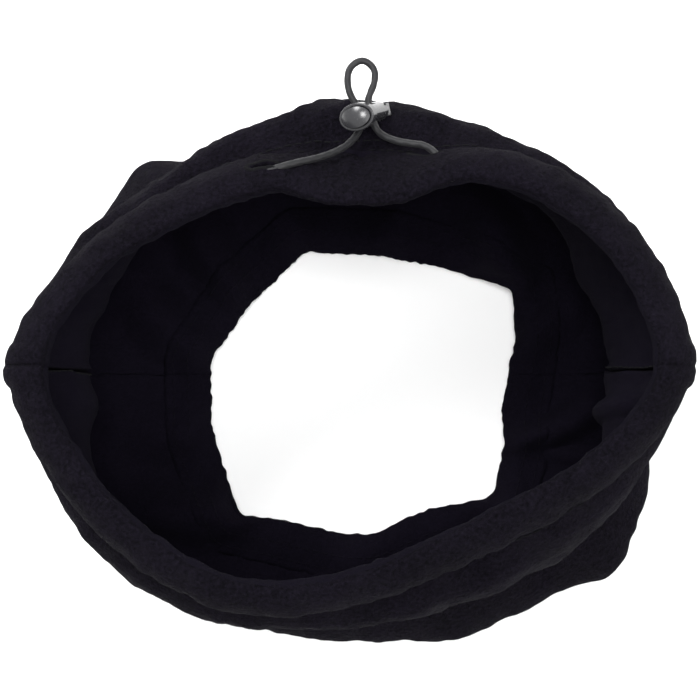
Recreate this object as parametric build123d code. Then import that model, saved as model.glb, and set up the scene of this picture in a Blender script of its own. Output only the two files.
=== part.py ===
from build123d import *
import os
from dataclasses import dataclass
from math import cos, hypot, pi, radians, sin, tan

# A fleece neck gaiter with a drawcord round its upper rim, standing slumped on its lower hem.
# Millimetres. +X is the wearer's side to side, +Y is the back, where the cord lock hangs, +Z is up.
# The origin is at the middle of the gaiter's footprint, on the surface that it stands on.

# Overall sizes of the standing tube
BULGE_HALF_WIDTH = 104.5
BULGE_HALF_DEPTH = 90.2
RIM_HEIGHT = 130.0

# The fleece
FLEECE_THICKNESS = 2.5
TURNED_HEM_THICKNESS = 4.4
CASING_THICKNESS = 9.0
STITCHED_THICKNESS = 2.8

# The rings that the tube's wall passes through, measured from the overall sizes
HEM_EDGE_HALF_WIDTH = 57.0
HEM_EDGE_HALF_DEPTH = 52.0
HEM_INNER_ROW_OFFSET = 7.0
HEM_OUTER_ROW_OFFSET = 12.0
FLANGE_OFFSET = 22.0
FLOOR_FOLD_INSET = 8.0
FLOOR_FOLD_HEIGHT = 4.0
CREASE_INSET = 12.5
CREASE_BELOW_RIM = 74.0
LOWER_BULGE_INSET = 1.0
UPPER_BULGE_BELOW_RIM = 50.0
LOWER_ROW_BELOW_RIM = 25.0
UPPER_ROW_BELOW_RIM = 20.0
CASING_BELOW_RIM = 10.0
CREST_BELOW_RIM = 4.3

# How far the rim stands out past the upper bulge at the side seams, and in from it at front and back
LOWER_ROW_SIDE_OUTSET = 2.4
LOWER_ROW_FRONT_INSET = 10.5
LOWER_ROW_BACK_INSET = 18.7
UPPER_ROW_SIDE_OUTSET = 2.9
UPPER_ROW_FRONT_INSET = 14.2
UPPER_ROW_BACK_INSET = 23.2
CASING_SIDE_INSET = 1.1
CASING_FRONT_INSET = 17.7
CASING_BACK_INSET = 26.4
CREST_SIDE_INSET = 5.0
CREST_FRONT_INSET = 21.4
CREST_BACK_INSET = 31.2

# Plan shape: 2 is an ellipse, less is more pointed at the seams
BODY_EXPONENT = 2.1
RIM_EXPONENT = 2.0
FRONT_RIGHT_RIM_EXPONENT = 1.75

# The drawcord's channel inside the back casing
CHANNEL_BELOW_RIM = 8.5
CHANNEL_SIDE_INSET = 2.5
CHANNEL_BACK_INSET = 27.5
CASING_WALL = 2.0
CHANNEL_THICKNESS = CASING_THICKNESS - 2 * CASING_WALL
CHANNEL_WIDTH = 9.0
CHANNEL_END_ANGLE = 4.0

# Threads
THREAD_WIDTH = 0.9
THREAD_HEIGHT = 0.5
THREAD_SINK = 0.25
THREAD_CLEARANCE = 0.05

# Buttonholes in the back casing
LEFT_BUTTONHOLE_X = -27.0
RIGHT_BUTTONHOLE_X = 30.0
LEFT_BUTTONHOLE_BELOW_RIM = 7.0
RIGHT_BUTTONHOLE_BELOW_RIM = 12.0
BUTTONHOLE_LENGTH = 9.0
BUTTONHOLE_WIDTH = 2.0
BUTTONHOLE_THREAD_DIAMETER = 0.9
BUTTONHOLE_THREAD_MARGIN = 0.9

# The drawcord: a round elastic, held at both ends in the side seams, its middle folded through the lock
CORD_DIAMETER = 2.3
CORD_CLEARANCE = 0.15
CORD_ROUTE = [
    (-102.6, 0.0, 121.2),
    (-101.0, 8.8, 121.3),
    (-94.5, 23.6, 121.5),
    (-82.0, 37.3, 121.6),
    (-66.0, 47.8, 121.5),
    (-48.0, 55.3, 121.7),
    (-36.0, 59.4, 122.3),
    (-25.5, 64.4, 123.4),
    (-16.0, 69.0, 121.4),
    (-7.5, 72.2, 117.6),
    (-0.8, 73.7, 113.2),
    (5.207, 74.430, 109.411),
    (1.917, 86.932, 110.795),
    (-0.9, 91.5, 110.9),
    (-0.4, 96.9, 110.8),
    (4.0, 102.4, 110.6),
    (8.7, 98.3, 110.9),
    (8.3, 92.2, 111.6),
    (5.298, 87.646, 112.376),
    (8.335, 76.107, 111.098),
    (13.8, 75.0, 111.4),
    (20.0, 72.8, 113.8),
    (27.5, 69.4, 117.2),
    (36.0, 61.6, 120.3),
    (48.0, 55.3, 121.5),
    (66.0, 47.8, 121.6),
    (82.0, 37.3, 121.5),
    (94.5, 23.6, 121.4),
    (101.0, 8.8, 121.3),
    (102.6, 0.0, 121.2),
]

# The cord lock, drawn along its own axis: 0 is the middle of the two cord strands, + is the button end
LOCK_X = 5.0
LOCK_BEHIND_BULGE = -8.2
LOCK_BELOW_RIM = 19.0
LOCK_AXIS = (-0.38, -0.20, 0.903)
LOCK_CORD_DIRECTION = (-0.253, 0.9616, 0.1065)
CORD_SPACING = 3.8
CORD_SIDE_ROOM = 0.4
CORD_SLOT_DROP = 2.0
CORD_GRIP_GAP = 0.1
PLUNGER_SLOT_ROOM = 0.9
PLUNGER_SIDE_WEB = 0.8
PLUNGER_TOP_WEB = 1.3
PLUNGER_CLEARANCE = 0.15
BARREL_WALL = 1.0
BARREL_SLOT_WIDTH = CORD_SPACING + CORD_DIAMETER + CORD_SIDE_ROOM
STEM_WIDTH = BARREL_SLOT_WIDTH + 2 * PLUNGER_SIDE_WEB
BORE_WIDTH = STEM_WIDTH + 2 * PLUNGER_CLEARANCE
BARREL_WIDTH = BORE_WIDTH + 2 * BARREL_WALL
BARREL_DEPTH = 7.0
BORE_DEPTH = BARREL_DEPTH - 2 * BARREL_WALL
STEM_DEPTH = BORE_DEPTH - 2 * PLUNGER_CLEARANCE
SPRING_POCKET_DEPTH = 2.2
SPRING_POCKET_WALL = 0.55
SPRING_POCKET_DIAMETER = STEM_DEPTH - 2 * SPRING_POCKET_WALL
SPRING_CLEARANCE = 0.2
SPRING_DIAMETER = SPRING_POCKET_DIAMETER - 2 * SPRING_CLEARANCE
SPRING_WIRE = 0.36
SPRING_TURNS = 4.0
PRESS_TRAVEL = 2.6
PRESS_CLEARANCE = 0.2
CHAMBER_WALL = 0.9
TAIL_LENGTH = 2.6
TAIL_DEPTH = 4.2
EYE_DIAMETER = 1.6
BUTTON_SIDE_LIP = 0.95
BUTTON_FRONT_LIP = 1.05
BUTTON_WIDTH = STEM_WIDTH + 2 * BUTTON_SIDE_LIP
BUTTON_DEPTH = STEM_DEPTH + 2 * BUTTON_FRONT_LIP
BUTTON_CLEARANCE = 0.3
CUP_WALL = 0.8
CUP_BORE_WIDTH = BUTTON_WIDTH + 2 * BUTTON_CLEARANCE
CUP_BORE_DEPTH = BUTTON_DEPTH + 2 * BUTTON_CLEARANCE
CUP_WIDTH = CUP_BORE_WIDTH + 2 * CUP_WALL
CUP_DEPTH = CUP_BORE_DEPTH + 2 * CUP_WALL
CUP_FLOOR = 4.65
CUP_HEIGHT = 3.2
CUP_FLARE = 2.2
BUTTON_RIM_HEIGHT = 1.0
BUTTON_DOME_HEIGHT = 1.7
EDGE_FILLET = 0.35

# Stations round half of the tube
HALF_STATIONS = 12


@dataclass(frozen=True)
class Ring:
    """A closed line in the middle of the tube's wall, level all round."""

    height: float
    half_width: float
    front_depth: float
    back_depth: float
    thickness: float
    exponent: float
    front_right_exponent: float

    def radius(self, angle):
        """The distance from the tube's axis at an angle in degrees, 0 at +X and 90 at the back."""
        x_part = abs(cos(radians(angle)))
        y_part = abs(sin(radians(angle)))
        turn = angle % 360
        depth = self.front_depth if turn > 180 else self.back_depth
        power = self.front_right_exponent if turn > 270 else self.exponent
        return ((x_part / self.half_width) ** power + (y_part / depth) ** power) ** (-1 / power)


def body_ring(height, inset, thickness):
    """A ring of the tube's body, the same inset from the bulge all round."""
    depth = BULGE_HALF_DEPTH - inset
    return Ring(height, BULGE_HALF_WIDTH - inset, depth, depth, thickness, BODY_EXPONENT, BODY_EXPONENT)


def hem_ring(offset, thickness, height):
    """A ring of the turned lower hem, which lies flat and points inwards."""
    depth = HEM_EDGE_HALF_DEPTH + offset
    return Ring(height, HEM_EDGE_HALF_WIDTH + offset, depth, depth, thickness, BODY_EXPONENT, BODY_EXPONENT)


def rim_ring(below_rim, side_inset, front_inset, back_inset, thickness):
    """A ring of the rim, whose mouth is narrower than the body at front and back."""
    return Ring(
        RIM_HEIGHT - below_rim,
        BULGE_HALF_WIDTH - side_inset,
        BULGE_HALF_DEPTH - front_inset,
        BULGE_HALF_DEPTH - back_inset,
        thickness,
        RIM_EXPONENT,
        FRONT_RIGHT_RIM_EXPONENT,
    )


# The hem and the flange are drawn this far into the floor, and the floor plane cuts them flat
FLOOR_CUT = 0.5
TURNED_HEM_MIDDLE = TURNED_HEM_THICKNESS / 2 - FLOOR_CUT
FLANGE_MIDDLE = FLEECE_THICKNESS / 2 - FLOOR_CUT
CREASE_HEIGHT = RIM_HEIGHT - CREASE_BELOW_RIM

RINGS = {
    "hem edge": hem_ring(0, TURNED_HEM_THICKNESS, TURNED_HEM_MIDDLE),
    "hem inner row": hem_ring(HEM_INNER_ROW_OFFSET, TURNED_HEM_THICKNESS, TURNED_HEM_MIDDLE),
    "hem outer row": hem_ring(HEM_OUTER_ROW_OFFSET, TURNED_HEM_THICKNESS, TURNED_HEM_MIDDLE),
    "flange": hem_ring(FLANGE_OFFSET, FLEECE_THICKNESS, FLANGE_MIDDLE),
    "floor fold": body_ring(FLOOR_FOLD_HEIGHT, FLOOR_FOLD_INSET, FLEECE_THICKNESS),
    "lower bulge": body_ring(CREASE_HEIGHT / 2, LOWER_BULGE_INSET, FLEECE_THICKNESS),
    "crease": body_ring(CREASE_HEIGHT, CREASE_INSET, FLEECE_THICKNESS),
    "upper bulge": body_ring(RIM_HEIGHT - UPPER_BULGE_BELOW_RIM, 0, FLEECE_THICKNESS),
    "lower row": rim_ring(
        LOWER_ROW_BELOW_RIM,
        -LOWER_ROW_SIDE_OUTSET,
        LOWER_ROW_FRONT_INSET,
        LOWER_ROW_BACK_INSET,
        STITCHED_THICKNESS,
    ),
    "upper row": rim_ring(
        UPPER_ROW_BELOW_RIM,
        -UPPER_ROW_SIDE_OUTSET,
        UPPER_ROW_FRONT_INSET,
        UPPER_ROW_BACK_INSET,
        STITCHED_THICKNESS,
    ),
    "casing": rim_ring(
        CASING_BELOW_RIM, CASING_SIDE_INSET, CASING_FRONT_INSET, CASING_BACK_INSET, CASING_THICKNESS
    ),
    "crest": rim_ring(
        CREST_BELOW_RIM, CREST_SIDE_INSET, CREST_FRONT_INSET, CREST_BACK_INSET, CASING_THICKNESS
    ),
}
RING_NAMES = list(RINGS)


def upright_point(angle, radius, height):
    """A point given by its angle round the tube, its distance from the axis and its height."""
    return Vector(radius * cos(radians(angle)), radius * sin(radians(angle)), height)


def wall_frame(angle, name):
    """The wall's middle (radius, height), its upward tangent and its outward normal at a ring."""
    index = RING_NAMES.index(name)
    ring = RINGS[name]
    before = RINGS[RING_NAMES[max(index - 1, 0)]]
    after = RINGS[RING_NAMES[min(index + 1, len(RING_NAMES) - 1)]]
    run = after.radius(angle) - before.radius(angle)
    rise = after.height - before.height
    length = hypot(run, rise)
    return (ring.radius(angle), ring.height), (run / length, rise / length), (rise / length, -run / length)


def wall_point(angle, name, out, along=0.0):
    """A point beside a ring: out along the wall's normal, along its tangent."""
    middle, tangent, normal = wall_frame(angle, name)
    radius = middle[0] + normal[0] * out + tangent[0] * along
    height = middle[1] + normal[1] * out + tangent[1] * along
    return upright_point(angle, radius, height)


def wall_profile(angle):
    """The wall's closed outline in the upright plane at an angle."""
    outer = [wall_point(angle, name, RINGS[name].thickness / 2) for name in RING_NAMES]
    inner = [wall_point(angle, name, -RINGS[name].thickness / 2) for name in RING_NAMES]
    crest = wall_point(angle, "crest", 0, CASING_THICKNESS / 2)
    return Wire([
        Edge.make_spline(outer),
        Edge.make_three_point_arc(outer[-1], crest, inner[-1]),
        Edge.make_spline(inner[::-1]),
        Edge.make_line(inner[0], outer[0]),
    ])


def strip_profile(angle, name, low, high, width):
    """A small rectangle across the wall at a ring, from low to high along the normal."""
    corners = [
        wall_point(angle, name, low, -width / 2),
        wall_point(angle, name, high, -width / 2),
        wall_point(angle, name, high, width / 2),
        wall_point(angle, name, low, width / 2),
    ]
    return Wire.make_polygon(corners, close=True)


def half_stations(first):
    """The station angles of the half of the tube that starts at the angle first."""
    return [first + 180 * step / HALF_STATIONS for step in range(HALF_STATIONS + 1)]


def tube_half(first):
    """The wall from one side seam to the other, standing flat on the floor plane."""
    wall = Solid.make_loft([wall_profile(angle) for angle in half_stations(first)])
    reach = 2 * (BULGE_HALF_WIDTH + CASING_THICKNESS)
    floor = Box(reach, reach, 10, align=(Align.CENTER, Align.CENTER, Align.MAX))
    return wall - floor


def channel_profile(angle):
    """The drawcord channel's outline in the upright plane at an angle: a slot with round ends."""
    ring = rim_ring(CHANNEL_BELOW_RIM, CHANNEL_SIDE_INSET, CASING_FRONT_INSET, CHANNEL_BACK_INSET, 0)
    _, tangent, normal = wall_frame(angle, "casing")

    def slot_point(out, along):
        radius = ring.radius(angle) + normal[0] * out + tangent[0] * along
        height = ring.height + normal[1] * out + tangent[1] * along
        return upright_point(angle, radius, height)

    half = CHANNEL_THICKNESS / 2
    straight = CHANNEL_WIDTH / 2 - half
    return Wire([
        Edge.make_line(slot_point(half, -straight), slot_point(half, straight)),
        Edge.make_three_point_arc(
            slot_point(half, straight), slot_point(0, straight + half), slot_point(-half, straight)
        ),
        Edge.make_line(slot_point(-half, straight), slot_point(-half, -straight)),
        Edge.make_three_point_arc(
            slot_point(-half, -straight), slot_point(0, -straight - half), slot_point(half, -straight)
        ),
    ])


def drawcord_channel():
    """The hollow of the back casing, closed near both side seams."""
    span = 180 - 2 * CHANNEL_END_ANGLE
    angles = [CHANNEL_END_ANGLE + span * step / HALF_STATIONS for step in range(HALF_STATIONS + 1)]
    return Solid.make_loft([channel_profile(angle) for angle in angles])


def thread_rows(name, side, clearance=0.0):
    """One row of stitching round the whole tube at a ring, on its outer (1) or inner (-1) face."""
    face = side * RINGS[name].thickness / 2
    low = face - side * (THREAD_SINK + clearance)
    high = face + side * (THREAD_HEIGHT - THREAD_SINK + clearance)
    width = THREAD_WIDTH + 2 * clearance
    halves = []
    for first in (0, 180):
        profiles = [strip_profile(angle, name, low, high, width) for angle in half_stations(first)]
        halves.append(Solid.make_loft(profiles))
    return halves


def seam_thread(angle, clearance=0.0):
    """The thread of a side seam, down the outside from the casing's stitching to the floor fold."""
    names = RING_NAMES[RING_NAMES.index("lower bulge"):RING_NAMES.index("upper row")]
    low = -(THREAD_SINK + clearance)
    high = THREAD_HEIGHT - THREAD_SINK + clearance
    ends = [0.0] * (len(names) - 1) + [clearance - THREAD_WIDTH]
    half = [RINGS[name].thickness / 2 for name in names]
    inner = [wall_point(angle, name, out + low, end) for name, out, end in zip(names, half, ends)]
    outer = [wall_point(angle, name, out + high, end) for name, out, end in zip(names, half, ends)]
    outline = Wire([
        Edge.make_spline(outer),
        Edge.make_line(outer[-1], inner[-1]),
        Edge.make_spline(inner[::-1]),
        Edge.make_line(inner[0], outer[0]),
    ])
    width = THREAD_WIDTH + 2 * clearance
    strip = extrude(Face(outline), width / 2, dir=(0, 1, 0), both=True)
    return strip


def buttonhole_plane(x, below_rim):
    """The plane of a buttonhole on the back casing's outer face, its X along the rim."""
    height = RIM_HEIGHT - below_rim
    mean_depth = BULGE_HALF_DEPTH - CASING_BACK_INSET
    half_width = BULGE_HALF_WIDTH - CASING_SIDE_INSET
    y = mean_depth * (1 - (x / half_width) ** 2) ** 0.5
    along = Vector(1, -x * mean_depth ** 2 / (y * half_width ** 2), 0).normalized()
    angle = Vector(1, 0, 0).get_angle(Vector(x, y, 0))
    _, _, normal = wall_frame(angle, "casing")
    outward = Vector(-along.Y * normal[0], along.X * normal[0], normal[1])
    lean = (height - RINGS["casing"].height) * normal[1] / normal[0]
    centre = Vector(x, y - lean, height) + outward * (CASING_THICKNESS / 2)
    return Plane(origin=centre, x_dir=along, z_dir=outward)


def buttonhole_slit(plane):
    """The slit's solid, from the channel to outside the casing."""
    outline = SlotOverall(BUTTONHOLE_LENGTH, BUTTONHOLE_WIDTH)
    slit = extrude(outline, CASING_THICKNESS / 2, both=True)
    return plane * slit


def buttonhole_thread(plane, clearance=0.0):
    """The thread sewn round a buttonhole's slit."""
    length = BUTTONHOLE_LENGTH + 2 * BUTTONHOLE_THREAD_MARGIN
    width = BUTTONHOLE_WIDTH + 2 * BUTTONHOLE_THREAD_MARGIN
    band = BUTTONHOLE_THREAD_DIAMETER
    outline = SlotOverall(length + clearance, width + clearance)
    hole = SlotOverall(length - band - clearance, width - band - clearance)
    ring = extrude(outline - hole, band / 2 + clearance, both=True)
    return plane * ring


def cord_radii():
    """The radius of each corner of the cord's route, as large as its two runs allow."""
    points = [Vector(*point) for point in CORD_ROUTE]
    radii = []
    for before, corner, after in zip(points, points[1:], points[2:]):
        shorter = min((corner - before).length, (after - corner).length)
        half_turn = radians((corner - before).get_angle(after - corner)) / 2
        radii.append(0.45 * shorter / tan(half_turn))
    return radii


def cord_tube(diameter):
    """A round tube along the cord's route, cut flush with the side seams, and its length."""
    path = FilletPolyline(*CORD_ROUTE, radius=cord_radii())
    start = Plane(origin=path @ 0, z_dir=path % 0)
    tube = sweep(start * Circle(diameter / 2), path=path)
    front = Box(4 * BULGE_HALF_WIDTH, diameter, 4 * diameter, align=(Align.CENTER, Align.MAX, Align.CENTER))
    return tube - Pos(0, 0, CORD_ROUTE[0][2]) * front, path.length


def lock_plane():
    """The lock's own frame: Z to the button, Y along the cord strands."""
    y = BULGE_HALF_DEPTH + LOCK_BEHIND_BULGE
    axis = Vector(*LOCK_AXIS).normalized()
    across = Vector(*LOCK_CORD_DIRECTION).cross(axis).normalized()
    return Plane(origin=(LOCK_X, y, RIM_HEIGHT - LOCK_BELOW_RIM), x_dir=across, z_dir=axis)


def upright_cylinder(diameter, low, high):
    """A cylinder on the lock's axis between two heights."""
    return Pos(0, 0, low) * Cylinder(
        diameter / 2, high - low, align=(Align.CENTER, Align.CENTER, Align.MIN)
    )


def oval_cylinder(width, depth, low, high):
    """A column of oval section on the lock's axis: width across the cords, depth along them."""
    return Pos(0, 0, low) * extrude(Ellipse(width / 2, depth / 2), amount=high - low)


# Heights on the lock's axis
BARREL_SLOT_TOP = CORD_DIAMETER / 2 + CORD_GRIP_GAP
BARREL_SLOT_BOTTOM = -(CORD_DIAMETER / 2 + CORD_SLOT_DROP)
PLUNGER_SLOT_BOTTOM = -BARREL_SLOT_TOP
PLUNGER_SLOT_HEIGHT = 2 * BARREL_SLOT_TOP + PRESS_TRAVEL + PLUNGER_SLOT_ROOM
SPRING_TOP = PLUNGER_SLOT_BOTTOM - PLUNGER_TOP_WEB
STEM_BOTTOM = SPRING_TOP - SPRING_POCKET_DEPTH
CHAMBER_FLOOR = STEM_BOTTOM - PRESS_TRAVEL - PRESS_CLEARANCE
BARREL_BOTTOM = CHAMBER_FLOOR - CHAMBER_WALL
TAIL_END = BARREL_BOTTOM - TAIL_LENGTH
CUP_TOP = CUP_FLOOR + CUP_HEIGHT
BUTTON_BOTTOM = CUP_FLOOR + PRESS_TRAVEL + PRESS_CLEARANCE / 2


def lock_tail():
    """The flat tab at the barrel's end, with a round end and an eye through it."""
    length = TAIL_LENGTH + CHAMBER_WALL
    reach = BARREL_WIDTH / 2 - EDGE_FILLET
    tab = Pos(0, 0, TAIL_END + length / 2) * Box(2 * reach, TAIL_DEPTH, length)
    tab = fillet(tab.edges().filter_by(Axis.Y).group_by(Axis.Z)[0], TAIL_LENGTH / 2)
    eye = Rot(90, 0, 0) * Cylinder(EYE_DIAMETER / 2, 2 * BARREL_DEPTH)
    return tab - Pos(0, 0, TAIL_END + TAIL_LENGTH / 2) * eye


def lock_barrel():
    """The lock's outer shell: oval barrel, flared cup round the button, cord slot and tail."""
    shell = oval_cylinder(BARREL_WIDTH, BARREL_DEPTH, BARREL_BOTTOM, CUP_FLOOR)
    cup = oval_cylinder(CUP_WIDTH, CUP_DEPTH, CUP_FLOOR, CUP_TOP)
    flare_start = Pos(0, 0, CUP_FLOOR - CUP_FLARE) * Ellipse(BARREL_WIDTH / 2, BARREL_DEPTH / 2)
    flare_end = Pos(0, 0, CUP_FLOOR) * Ellipse(CUP_WIDTH / 2, CUP_DEPTH / 2)
    shell = shell + loft([flare_start, flare_end]) + cup
    shell = fillet(shell.edges().group_by(Axis.Z)[0], 2 * EDGE_FILLET)
    shell = fillet(shell.edges().group_by(Axis.Z)[-1], EDGE_FILLET)
    shell -= oval_cylinder(BORE_WIDTH, BORE_DEPTH, CHAMBER_FLOOR, CUP_TOP)
    shell -= oval_cylinder(CUP_BORE_WIDTH, CUP_BORE_DEPTH, CUP_FLOOR, CUP_TOP)
    slot_height = BARREL_SLOT_TOP - BARREL_SLOT_BOTTOM
    slot_middle = (BARREL_SLOT_TOP + BARREL_SLOT_BOTTOM) / 2
    shell -= Pos(0, 0, slot_middle) * Box(BARREL_SLOT_WIDTH, 2 * CUP_DEPTH, slot_height)
    return shell + lock_tail()


def lock_plunger():
    """The sprung button: domed head, stem with the cord slot, and a pocket for the spring."""
    stem = oval_cylinder(STEM_WIDTH, STEM_DEPTH, STEM_BOTTOM, BUTTON_BOTTOM)
    head_top = BUTTON_BOTTOM + BUTTON_RIM_HEIGHT
    head = oval_cylinder(BUTTON_WIDTH, BUTTON_DEPTH, BUTTON_BOTTOM, head_top)
    half = BUTTON_WIDTH / 2
    dome_radius = (half ** 2 + BUTTON_DOME_HEIGHT ** 2) / (2 * BUTTON_DOME_HEIGHT)
    ball = Pos(0, 0, head_top + BUTTON_DOME_HEIGHT - dome_radius) * Sphere(dome_radius)
    dome_room = oval_cylinder(BUTTON_WIDTH, BUTTON_DEPTH, head_top, head_top + BUTTON_DOME_HEIGHT)
    plunger = stem + head + (ball & dome_room)
    slot_middle = PLUNGER_SLOT_BOTTOM + PLUNGER_SLOT_HEIGHT / 2
    plunger -= Pos(0, 0, slot_middle) * Box(BARREL_SLOT_WIDTH, 2 * CUP_DEPTH, PLUNGER_SLOT_HEIGHT)
    return plunger - upright_cylinder(SPRING_POCKET_DIAMETER, STEM_BOTTOM, SPRING_TOP)


def lock_spring():
    """The round-wire spring between the barrel's floor and the plunger's pocket."""
    height = SPRING_TOP - CHAMBER_FLOOR - SPRING_WIRE
    pitch = height / SPRING_TURNS
    coil_radius = (SPRING_DIAMETER - SPRING_WIRE) / 2
    helix = Helix(pitch=pitch, height=height, radius=coil_radius)
    start = Plane(origin=helix @ 0, z_dir=helix % 0)
    wire = sweep(start * Circle(SPRING_WIRE / 2), path=helix, is_frenet=True)
    return Pos(0, 0, CHAMBER_FLOOR + SPRING_WIRE / 2) * wire


def write_node(name, shape):
    """Write one piece to its own file."""
    export_step(shape, f"parts/{name}.step")


def main():
    """Build every piece and write it."""
    os.makedirs("parts", exist_ok=True)
    front = tube_half(180)
    back = tube_half(0)

    outer_rows = {"casing_lower_stitch_row": "lower row", "casing_upper_stitch_row": "upper row"}
    inner_rows = {"hem_inner_stitch_row": "hem inner row", "hem_outer_stitch_row": "hem outer row"}
    for rows, side in ((outer_rows, 1), (inner_rows, -1)):
        for node, ring_name in rows.items():
            back_groove, front_groove = thread_rows(ring_name, side, THREAD_CLEARANCE)
            back -= back_groove
            front -= front_groove
            write_node(node, Compound(thread_rows(ring_name, side)))

    for node, angle in (("right_side_seam_thread", 0), ("left_side_seam_thread", 180)):
        groove = seam_thread(angle, THREAD_CLEARANCE)
        back -= groove
        front -= groove
        write_node(node, seam_thread(angle))

    back -= drawcord_channel()
    cord_room, _ = cord_tube(CORD_DIAMETER + 2 * CORD_CLEARANCE)
    back -= cord_room
    left_hole = buttonhole_plane(LEFT_BUTTONHOLE_X, LEFT_BUTTONHOLE_BELOW_RIM)
    right_hole = buttonhole_plane(RIGHT_BUTTONHOLE_X, RIGHT_BUTTONHOLE_BELOW_RIM)
    for node, plane in (("left_buttonhole_thread", left_hole), ("right_buttonhole_thread", right_hole)):
        back -= buttonhole_slit(plane)
        back -= buttonhole_thread(plane, THREAD_CLEARANCE)
        write_node(node, buttonhole_thread(plane) - cord_room)
    write_node("front_panel", front)
    write_node("back_panel", back)

    cord, cord_length = cord_tube(CORD_DIAMETER)
    write_node("drawcord", cord)
    section = pi * CORD_DIAMETER ** 2 / 4
    print("cord radii:", [round(radius, 1) for radius in cord_radii()])
    print(f"cord length {cord_length:.1f}, volume {cord.volume:.1f}")
    print(f"cord section x length {section * cord_length:.1f}")

    plane = lock_plane()
    write_node("lock_barrel", plane * lock_barrel())
    write_node("lock_plunger", plane * lock_plunger())
    write_node("lock_spring", plane * lock_spring())
    print("lock origin", plane.origin, "axis", plane.z_dir, "cords", plane.y_dir)


if __name__ == "__main__":
    main()
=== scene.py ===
"""The looks of a black fleece neck gaiter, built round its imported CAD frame.

The gaiter stands slumped on its lower hem. Two fleece panels are sewn together at the sides, the rim is
turned over into a casing, and an elastic drawcord leaves the casing at two buttonholes and folds through
a sprung cord lock. Everything is in metres, in the frame of the CAD model.
"""

import logging
import math
from dataclasses import dataclass, field
from enum import Enum

import bpy
import numpy as np
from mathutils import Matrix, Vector


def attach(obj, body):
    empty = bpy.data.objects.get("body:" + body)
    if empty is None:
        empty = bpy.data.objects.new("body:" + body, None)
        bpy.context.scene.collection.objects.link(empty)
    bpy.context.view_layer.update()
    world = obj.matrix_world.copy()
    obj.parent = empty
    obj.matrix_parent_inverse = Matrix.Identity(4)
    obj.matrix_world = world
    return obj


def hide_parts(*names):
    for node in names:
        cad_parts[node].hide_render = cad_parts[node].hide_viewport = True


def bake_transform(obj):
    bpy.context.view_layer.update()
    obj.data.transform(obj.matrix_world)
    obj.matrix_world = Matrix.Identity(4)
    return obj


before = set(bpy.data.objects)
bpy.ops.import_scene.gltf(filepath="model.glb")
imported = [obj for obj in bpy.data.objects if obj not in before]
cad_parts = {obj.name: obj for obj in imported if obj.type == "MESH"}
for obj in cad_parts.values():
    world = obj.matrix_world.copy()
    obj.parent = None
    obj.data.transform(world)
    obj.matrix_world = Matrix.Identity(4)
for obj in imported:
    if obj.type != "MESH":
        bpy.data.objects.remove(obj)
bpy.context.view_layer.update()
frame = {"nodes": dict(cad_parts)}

LOG = logging.getLogger("neck_gaiter")
MM = 0.001


class Side(Enum):
    """The two halves of the tube, by the angle where each starts, in degrees."""

    BACK = 0
    FRONT = 180


# The shape of the slumped tube


def hermite(
    share: np.ndarray, start: np.ndarray, end: np.ndarray, leaving: np.ndarray, arriving: np.ndarray
) -> np.ndarray:
    """A smooth step from start to end, with the slopes that it leaves and arrives with.

    Args:
        share: how far along the step, from 0 to 1.
        start: the value at 0.
        end: the value at 1.
        leaving: the slope at 0.
        arriving: the slope at 1.

    Returns:
        The value at each share.
    """
    return (
        (2 * share**3 - 3 * share**2 + 1) * start
        + (share**3 - 2 * share**2 + share) * leaving
        + (-2 * share**3 + 3 * share**2) * end
        + (share**3 - share**2) * arriving
    )


@dataclass(frozen=True)
class Outline:
    """A closed line round the tube, through stations of (angle from +X, distance from the axis), in mm."""

    stations: tuple[tuple[float, float], ...]
    height: float
    sway: float = 0.0
    sway_angle: float = 0.0
    ripple: float = 0.0

    def radius(self, angles: np.ndarray) -> np.ndarray:
        """The distance from the axis.

        Args:
            angles: angles round the tube, in degrees.

        Returns:
            The radius at each angle, on a smooth closed curve through the stations.
        """
        knots = np.array([station[0] for station in self.stations])
        knots = np.concatenate([knots - 360, knots, knots + 360])
        values = np.tile([station[1] for station in self.stations], 3)
        slopes = np.gradient(values, knots)
        turned = angles % 360
        index = np.searchsorted(knots, turned, side="right") - 1
        gap = knots[index + 1] - knots[index]
        share = (turned - knots[index]) / gap
        ends = values[index], values[index + 1], gap * slopes[index], gap * slopes[index + 1]
        return hermite(share, *ends)

    def rise(self, angles: np.ndarray) -> np.ndarray:
        """The height at each angle, which sways once and ripples twice round the tube."""
        turn = np.radians(angles - self.sway_angle)
        return self.height + self.sway * np.cos(turn) + self.ripple * np.cos(2 * turn + 0.7)


@dataclass(frozen=True)
class HemEdge:
    """The lower opening's edge, nearly straight between the corners where pleats start, in mm."""

    corners: tuple[tuple[float, float], ...]
    softness: float = 2.2

    def radius(self, angles: np.ndarray) -> np.ndarray:
        """The distance from the axis at each angle, with the corners eased by a few degrees."""
        loop = np.array(self.corners + self.corners[:1])
        steps = np.linspace(0, 1, 60, endpoint=False)[:, None]
        line = np.concatenate([a + (b - a) * steps for a, b in zip(loop[:-1], loop[1:])])
        turns = np.degrees(np.arctan2(line[:, 1], line[:, 0])) % 360
        order = np.argsort(turns)
        fine = np.arange(0, 360, 0.5)
        radii = np.interp(fine, turns[order], np.linalg.norm(line, axis=1)[order], period=360)
        reach = np.arange(-24, 25)
        weights = np.exp(-((reach * 0.5 / self.softness) ** 2))
        padded = np.concatenate([radii[-24:], radii, radii[:24]])
        eased = np.convolve(padded, weights / weights.sum(), "valid")
        return np.interp(angles, fine, eased, period=360)


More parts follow.
